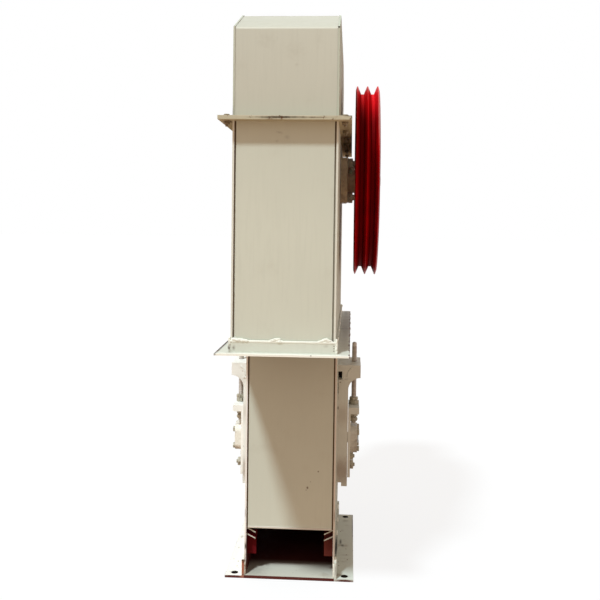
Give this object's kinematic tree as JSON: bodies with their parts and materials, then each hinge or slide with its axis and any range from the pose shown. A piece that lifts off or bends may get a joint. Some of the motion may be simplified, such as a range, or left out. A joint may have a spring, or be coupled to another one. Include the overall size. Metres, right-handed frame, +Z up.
{
  "type": "belt bucket elevator",
  "caption": "Short belt bucket elevator: sheet casing with overhanging discharge head bolted on its boot, V-groove drive pulley, screw take-ups and foot angles along its floor plate.",
  "frame": {"origin": "centre of the floor plate's underside, on the ground", "axes": "+X towards the drive pulley, -Y towards the front where the head overhangs the boot, +Z up"},
  "size_m": [0.279, 0.67, 0.965],
  "materials": {
    "casing_paint": "cream brushed enamel on sheet steel, semi-gloss, stained, with small rust marks",
    "primer": "dull red-oxide primer",
    "bearing_casting": "cast iron overpainted in the casing's cream",
    "bright_steel": "turned steel, slightly dulled",
    "pulley_paint": "glossy deep red enamel on a cast pulley",
    "belt_rubber": "black rubber-covered fabric belt, matt",
    "bucket_steel": "pressed steel, dull grey"
  },
  "bodies": {
    "housing": {"boot_back_panel": "casing_paint", "boot_back_slope": "casing_paint", "boot_front_panel": "casing_paint", "boot_side_left": "casing_paint", "boot_side_right": "casing_paint", "boot_top_flange": "casing_paint", "bucket_belt": "belt_rubber", "buckets": "bucket_steel", "cap_cover": "casing_paint", "cap_flange": "casing_paint", "cap_side_left": "casing_paint", "cap_side_right": "casing_paint", "discharge_partition": "casing_paint", "floor_plate": "casing_paint", "foot_angle_left": "casing_paint", "foot_angle_right": "casing_paint", "head_back_panel": "casing_paint", "head_bearing_left": "bearing_casting", "head_bearing_right": "bearing_casting", "head_bottom_flange": "casing_paint", "head_front_panel": "casing_paint", "head_side_left": "casing_paint", "head_side_right": "casing_paint", "head_top_flange": "casing_paint", "inlet_bracket_left": "primer", "inlet_bracket_right": "primer", "takeup_guides_left": "casing_paint", "takeup_guides_right": "casing_paint", "takeup_lug_left": "casing_paint", "takeup_lug_right": "casing_paint"},
    "head_rotor": {"head_shaft": "bright_steel", "head_drum": "primer", "drive_pulley": "pulley_paint"},
    "takeup": {"takeup_slide_left": "casing_paint", "takeup_slide_right": "casing_paint", "boot_bearing_left": "bearing_casting", "boot_bearing_right": "bearing_casting", "takeup_screw_left": "bright_steel", "takeup_screw_right": "bright_steel"},
    "boot_rotor": {"boot_shaft": "bright_steel", "boot_drum": "primer"}
  },
  "joints": [
    {"name": "head_spin", "type": "hinge", "parent": "housing", "child": "head_rotor", "pos_m": [0, 0.009, 0.714], "axis": [1, 0, 0], "continuous": true},
    {"name": "takeup_slide", "type": "slide", "parent": "housing", "child": "takeup", "axis": [0, 0, 1], "range_m": [0, 0.04]},
    {"name": "boot_spin", "type": "hinge", "parent": "takeup", "child": "boot_rotor", "pos_m": [0, 0.009, 0.213], "axis": [1, 0, 0], "continuous": true}
  ],
  "couplings": [
    {"joint": "boot_spin", "follows": "head_spin", "ratio": 1}
  ]
}
